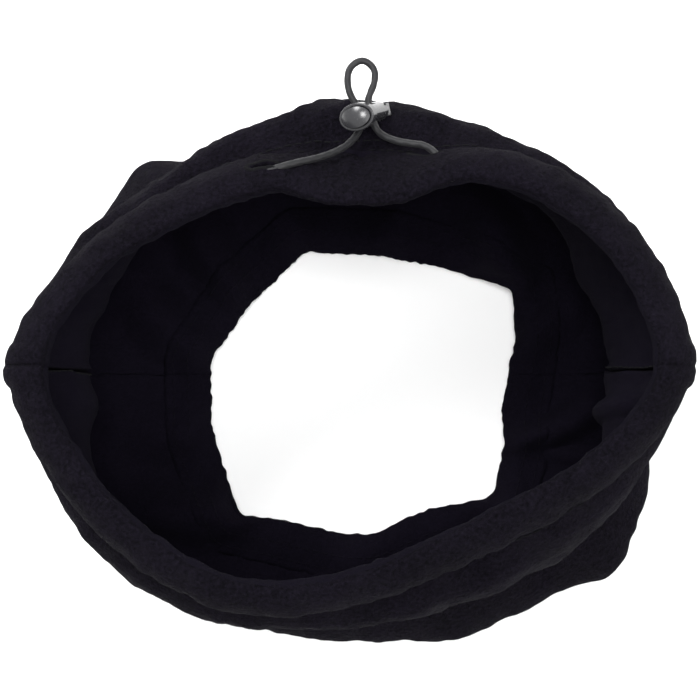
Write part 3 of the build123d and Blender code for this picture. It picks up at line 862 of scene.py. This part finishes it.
@dataclass
class Drawcord:
    """The elastic drawcord, from one side seam through the lock and back to the other."""

    diameter: float = 0.0023
    length: float = 0.327
    sides: int = 20
    strands: int = 8
    braid_pitch: float = 0.0042
    braid_depth: float = 0.00007
    route: tuple[tuple[float, float, float], ...] = (
        (-102.0, 0.0, 121.2), (-99.8, 8.7, 121.3), (-91.6, 22.9, 121.5), (-78.9, 35.9, 121.6),
        (-63.5, 46.0, 121.5), (-46.7, 53.9, 121.7), (-35.0, 58.2, 122.3), (-26.0, 62.4, 126.4),
        (-17.4, 65.0, 125.0), (-9.4, 67.0, 121.4), (-2.2, 70.4, 116.2), (1.8, 74.6, 111.6),
        (4.0, 78.9, 109.9), (2.3, 85.4, 110.6), (0.1, 88.2, 110.8), (-1.0, 92.8, 110.9),
        (-0.3, 97.6, 110.8), (4.0, 100.5, 110.6), (8.1, 97.4, 110.9), (8.2, 92.8, 111.4),
        (6.4, 88.6, 111.9), (5.7, 86.0, 112.1), (7.7, 78.6, 111.4), (10.0, 75.4, 111.6),
        (15.0, 73.2, 112.8), (20.0, 72.3, 113.8), (25.0, 71.7, 114.4), (30.0, 66.6, 117.4),
        (38.2, 65.4, 120.9), (52.8, 60.8, 121.4), (71.3, 51.6, 121.6), (85.8, 39.1, 121.5),
        (96.2, 24.0, 121.4), (101.2, 8.8, 121.3), (102.6, 0.0, 121.2),
    )

    def centreline(self) -> np.ndarray:
        """Points along the cord, read from the smooth curve of its route."""
        curve = bpy.data.curves.new("drawcord_route", "CURVE")
        curve.dimensions = "3D"
        curve.resolution_u = 24
        spline = curve.splines.new("NURBS")
        spline.points.add(len(self.route) - 1)
        for point, place in zip(spline.points, self.route):
            point.co = (place[0] * MM, place[1] * MM, place[2] * MM, 1.0)
        spline.order_u = 3
        spline.use_endpoint_u = True
        holder = bpy.data.objects.new("drawcord_route", curve)
        bpy.context.scene.collection.objects.link(holder)
        bpy.context.view_layer.update()
        sampled = bpy.data.meshes.new_from_object(holder)
        points = np.array([vertex.co for vertex in sampled.vertices], float)
        bpy.data.objects.remove(holder)
        bpy.data.meshes.remove(sampled)
        return points

    def build(self, finish: bpy.types.Material) -> bpy.types.Object:
        """Make the braided tube, which follows the lock between the casing and the loop."""
        coarse = self.centreline()
        steps = np.linalg.norm(np.diff(coarse, axis=0), axis=1)
        travelled = np.concatenate([[0], np.cumsum(steps)])
        count = int(travelled[-1] / 0.00038)
        stations = np.linspace(0, travelled[-1], count)
        line = np.stack([np.interp(stations, travelled, coarse[:, axis]) for axis in range(3)], axis=1)
        tangents = np.gradient(line, axis=0)
        tangents /= np.linalg.norm(tangents, axis=1, keepdims=True)
        normal = np.cross(tangents[0], (0, 0, 1.0))
        points = []
        for place, tangent, along in zip(line, tangents, stations):
            normal = normal - tangent * (normal @ tangent)
            normal /= np.linalg.norm(normal)
            binormal = np.cross(tangent, normal)
            for step in range(self.sides):
                turn = 2 * math.pi * step / self.sides
                twist = 2 * math.pi * along / self.braid_pitch
                strand = self.strands / 2 * turn
                braid = max(math.cos(strand + twist), math.cos(strand - twist))
                radius = self.diameter / 2 + self.braid_depth * (braid - 0.7)
                points.append(place + radius * (math.cos(turn) * normal + math.sin(turn) * binormal))
        faces = []
        for i in range(count - 1):
            for j in range(self.sides):
                k = (j + 1) % self.sides
                near, far = i * self.sides, (i + 1) * self.sides
                faces.append((near + j, near + k, far + k, far + j))
        faces.append(tuple(reversed(range(self.sides))))
        faces.append(tuple((count - 1) * self.sides + j for j in range(self.sides)))
        piece = mesh_object("drawcord_braid", np.array(points), faces)
        smooth(piece)
        piece.data.materials.append(finish)
        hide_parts("drawcord")
        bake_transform(piece)
        return piece


@dataclass
class CordLock:
    """The sprung barrel lock, whose CAD pieces are kept and finished."""

    plastic: MouldedFinish = MouldedFinish("lock_acetal", (0.020, 0.020, 0.022), 0.24)
    wire: MouldedFinish = MouldedFinish("spring_wire", (0.55, 0.55, 0.56), 0.28, 1.0)

    def dress(self, nodes: dict[str, bpy.types.Object]) -> None:
        """Give the CAD pieces their finishes."""
        plastic, wire = self.plastic.build(), self.wire.build()
        for name, finish in (("lock_barrel", plastic), ("lock_plunger", plastic), ("lock_spring", wire)):
            node = nodes[name]
            if not node.material_slots:
                node.data.materials.append(finish)
            for slot in node.material_slots:
                slot.material = finish


@dataclass
class Stitches:
    """Separate stitches, gathered into one piece: each a short thread that dives in at both ends."""

    name: str
    node: str
    width: float = 0.00055
    thickness: float = 0.0004
    points: list[np.ndarray] = field(default_factory=list)
    faces: list[tuple[int, ...]] = field(default_factory=list)

    def add(self, place: Vector, normal: Vector, along: Vector, length: float) -> None:
        """Add one stitch.

        Args:
            place: the stitch's middle, on the fabric's face.
            normal: the direction out of that face.
            along: the direction that the stitch runs in.
            length: the stitch's length, in metres.
        """
        start = len(self.points)
        across = normal.cross(along)
        shares = (-0.5, -0.42, -0.2, 0.0, 0.2, 0.42, 0.5)
        for share in shares:
            sunk = 0.00035 * (abs(share) / 0.5) ** 3
            centre = place + along * (share * length) + normal * (0.00012 - sunk)
            for step in range(6):
                turn = 2 * math.pi * step / 6
                sideways = across * (math.cos(turn) * self.width / 2)
                upwards = normal * (math.sin(turn) * self.thickness / 2)
                self.points.append(np.array(centre + (sideways + upwards)))
        for i in range(len(shares) - 1):
            for j in range(6):
                k = (j + 1) % 6
                near, far = start + i * 6, start + (i + 1) * 6
                self.faces.append((near + j, far + j, far + k, near + k))
        self.faces.append(tuple(start + j for j in range(6)))
        self.faces.append(tuple(start + (len(shares) - 1) * 6 + j for j in reversed(range(6))))

    def finish(self, thread: bpy.types.Material) -> bpy.types.Object:
        """Make the piece, which rides with the fabric in place of its CAD thread."""
        piece = mesh_object(self.name, np.array(self.points), self.faces)
        bpy.ops.object.mode_set(mode="EDIT")
        bpy.ops.mesh.select_all(action="SELECT")
        bpy.ops.mesh.normals_make_consistent(inside=False)
        bpy.ops.object.mode_set(mode="OBJECT")
        smooth(piece)
        piece.data.materials.append(thread)
        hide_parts(self.node)
        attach(piece, "gaiter")
        return piece


@dataclass(frozen=True)
class StitchRow:
    """A row of stitches round the whole tube, at one level."""

    name: str
    node: str
    level: float
    stitch_length: float = 0.0027
    gap: float = 0.0006

    def build(self, tube: SlumpedTube, thread: bpy.types.Material) -> bpy.types.Object:
        """Lay the row on the outer face of the fabric."""
        stitches = Stitches(self.name, self.node)
        line = tube.points[:, tube.row_of(self.level)]
        girth = np.concatenate([[0], np.cumsum(np.linalg.norm(np.diff(line, axis=0), axis=1))])
        count = int(girth[-1] / (self.stitch_length + self.gap))
        for index in range(count):
            angle = float(np.interp(girth[-1] * (index + 0.5) / count, girth, tube.angles))
            place, normal, around = tube.place(angle, self.level)
            stitches.add(place, normal, around, self.stitch_length)
        return stitches.finish(thread)


@dataclass(frozen=True)
class SideSeam:
    """The stitches that close a side seam, on the inside of the tube."""

    name: str
    node: str
    angle: float
    first_level: float = 5.6
    last_level: float = 9.8
    stitch_length: float = 0.0025
    pitch: float = 0.0031

    def build(self, tube: SlumpedTube, thread: bpy.types.Material) -> bpy.types.Object:
        """Lay the seam's stitches up the wall's inner face."""
        stitches = Stitches(self.name, self.node)
        level = self.first_level
        while level < self.last_level:
            place, normal, around = tube.place(self.angle, level)
            along = normal.cross(around)
            inner = place - normal * ((tube.fleece + 0.05) * MM)
            stitches.add(inner, -normal, along, self.stitch_length)
            ahead, _, _ = tube.place(self.angle, level + 0.02)
            level += 0.02 * self.pitch / max((ahead - place).length, 1e-5)
        return stitches.finish(thread)


@dataclass(frozen=True)
class Buttonhole:
    """A slit through the casing's outer ply, bound with satin stitches, where the cord comes out."""

    name: str
    node: str
    angle: float
    level: float
    length: float = 7.6
    margin: float = 1.5
    stitches: int = 52

    def cuts(self, tube: SlumpedTube, column: int, row: int) -> bool:
        """Whether the slit cuts away a face of the fabric grid."""
        if row != tube.row_of(self.level):
            return False
        radius = np.linalg.norm(tube.points[column, row, :2]) / MM
        away = (tube.angles[column] + 0.2 - self.angle + 180) % 360 - 180
        return abs(math.radians(away)) * radius < self.length / 2

    def build(self, tube: SlumpedTube, thread: bpy.types.Material) -> bpy.types.Object:
        """Bind the slit: each stitch crosses the slit's border, outwards from the slit."""
        stitches = Stitches(self.name, self.node, width=0.0005, thickness=0.0005)
        row = tube.row_of(self.level)
        middle = (tube.levels[row] + tube.levels[row + 1]) / 2
        centre, _, _ = tube.place(self.angle, middle)
        above, _, _ = tube.place(self.angle, middle + 0.1)
        level_per_mm = 0.1 / ((above - centre).length / MM)
        degree_per_mm = math.degrees(1 / (centre.xy.length / MM))
        half_gap = 0.5 * (tube.levels[row + 1] - tube.levels[row]) / level_per_mm
        reach = half_gap + self.margin / 2
        straight = self.length / 2 - 0.3
        total = 4 * straight + 2 * math.pi * reach
        for index in range(self.stitches):
            travel = total * index / self.stitches
            x, y, out_x, out_y = self._border(travel, straight, reach)
            place, normal, around = tube.place(self.angle + x * degree_per_mm, middle + y * level_per_mm)
            along = around * out_x + normal.cross(around) * out_y
            stitches.add(place, normal, along.normalized(), self.margin * MM)
        return stitches.finish(thread)

    @staticmethod
    def _border(travel: float, straight: float, reach: float) -> tuple[float, float, float, float]:
        """The place on the slit's round-ended border, and the way out of it, in the cloth's own plane."""
        arc = math.pi * reach
        if travel < 2 * straight:
            return travel - straight, reach, 0.0, 1.0
        travel -= 2 * straight
        if travel < arc:
            turn = math.pi / 2 - travel / reach
            return straight + reach * math.cos(turn), reach * math.sin(turn), math.cos(turn), math.sin(turn)
        travel -= arc
        if travel < 2 * straight:
            return straight - travel, -reach, 0.0, -1.0
        turn = -math.pi / 2 - (travel - 2 * straight) / reach
        return -straight + reach * math.cos(turn), reach * math.sin(turn), math.cos(turn), math.sin(turn)


@dataclass
class Studio:
    """The pale floor, the soft lights and the camera above."""

    floor_size: float = 6.0
    distance: float = 0.960
    elevation: float = 88.0
    target: tuple[float, float, float] = (0.0, 0.0069, 0.065)
    focal_length: float = 144.6

    def build(self) -> None:
        """Make the camera first, then the floor and the lights."""
        self._camera()
        self._floor()
        self._light("key", (-0.7, 0.85, 1.2), 0.6, 26.0)
        self._light("fill", (0.9, -0.5, 1.3), 1.2, 12.0)
        self._light("overhead", (0.0, 0.05, 1.15), 0.35, 9.5)
        bpy.context.scene.view_settings.view_transform = "Standard"
        world = bpy.data.worlds.new("studio")
        bpy.context.scene.world = world
        world.use_nodes = True
        background = world.node_tree.nodes["Background"]
        background.inputs["Color"].default_value = (1, 1, 1, 1)
        background.inputs["Strength"].default_value = 1.0

    def _camera(self) -> None:
        """Look almost straight down into the tube."""
        data = bpy.data.cameras.new("camera")
        camera = bpy.data.objects.new("camera", data)
        bpy.context.scene.collection.objects.link(camera)
        rise = math.radians(self.elevation)
        back = Vector((0, -math.cos(rise), math.sin(rise)))
        camera.location = Vector(self.target) + back * self.distance
        camera.rotation_euler = (math.pi / 2 - rise, 0, 0)
        data.lens = self.focal_length
        data.sensor_width = 36.0
        data.clip_start, data.clip_end = 0.01, 50.0
        bpy.context.scene.camera = camera

    def _floor(self) -> None:
        """A plain pale floor."""
        bpy.ops.object.select_all(action="DESELECT")
        bpy.ops.mesh.primitive_plane_add(size=self.floor_size)
        floor = bpy.context.object
        floor.name = "floor"
        material, shader = new_material("pale_floor")
        shader.inputs["Base Color"].default_value = (0.96, 0.96, 0.96, 1)
        shader.inputs["Roughness"].default_value = 0.9
        floor.data.materials.append(material)

    @staticmethod
    def _light(name: str, place: tuple[float, float, float], size: float, power: float) -> None:
        """An area light that faces the middle of the gaiter."""
        data = bpy.data.lights.new(name, "AREA")
        data.size = size
        data.energy = power
        light = bpy.data.objects.new(name, data)
        light.location = place
        light.rotation_euler = (Vector((0, 0, 0.07)) - Vector(place)).to_track_quat("-Z", "Y").to_euler()
        bpy.context.scene.collection.objects.link(light)


def main() -> None:
    """Build every piece in order."""
    logging.basicConfig(level=logging.INFO, format="%(name)s: %(message)s")
    Studio().build()
    nap = nap_group()
    cord = Drawcord().build(CordFinish().build(nap))
    LOG.info("made %s", cord.name)
    outside = FleeceFinish(
        "fleece_outside", (0.0001, 0.0001, 0.0003), (0.0094, 0.0076, 0.0136),
        820.0, 1.0, 1.0, 0.01, (0.5, 0.46, 0.6),
    ).build(nap)
    # The inside finish is smoother than the outside, and darker: its darker tone is painted shade of the
    # tube's hollow.
    inside = FleeceFinish(
        "fleece_inside_painted_shade", (0.0008, 0.0006, 0.0014), (0.0066, 0.0053, 0.0104),
        1000.0, 0.4, 0.45, 0.008, (0.45, 0.42, 0.6),
    ).build(nap)
    thread = FleeceFinish(
        "sewing_thread", (0.002, 0.002, 0.0025), (0.009, 0.009, 0.010),
        3000.0, 0.3, 0.3, 0.02, (0.5, 0.5, 0.5),
    ).build(nap)
    # A darker copy of the sewing thread for the hem stitches down in the tube's hollow: painted shade.
    hem_thread_painted_shade = FleeceFinish(
        "hem_thread_painted_shade", (0.0008, 0.0006, 0.0014), (0.0060, 0.0048, 0.0096),
        3000.0, 0.3, 0.3, 0.02, (0.5, 0.5, 0.5),
    ).build(nap)
    tube = SlumpedTube()
    Drape().settle(tube)
    LOG.info("draped the tube")
    left = Buttonhole("left_buttonhole_stitches", "left_buttonhole_thread", 113.5, 11.75)
    right = Buttonhole("right_buttonhole_stitches", "right_buttonhole_thread", 71.0, 10.65)
    pieces = [
        FleecePanel("back_panel_fleece", "back_panel", Side.BACK, (left, right)).build(tube, outside, inside),
        FleecePanel("front_panel_fleece", "front_panel", Side.FRONT).build(tube, outside, inside),
        StitchRow("casing_lower_stitches", "casing_lower_stitch_row", 9.72).build(tube, thread),
        StitchRow("casing_upper_stitches", "casing_upper_stitch_row", 10.0).build(tube, thread),
        StitchRow("hem_inner_stitches", "hem_inner_stitch_row", 0.65).build(tube, hem_thread_painted_shade),
        StitchRow("hem_outer_stitches", "hem_outer_stitch_row", 0.25).build(tube, hem_thread_painted_shade),
        SideSeam("right_side_seam_stitches", "right_side_seam_thread", 0.05).build(tube, thread),
        SideSeam("left_side_seam_stitches", "left_side_seam_thread", 180.05).build(tube, thread),
        left.build(tube, thread),
        right.build(tube, thread),
    ]
    for piece in pieces:
        LOG.info("made %s with %d faces", piece.name, len(piece.data.polygons))
    CordLock().dress(frame["nodes"])


if __name__ == "__main__":
    main()
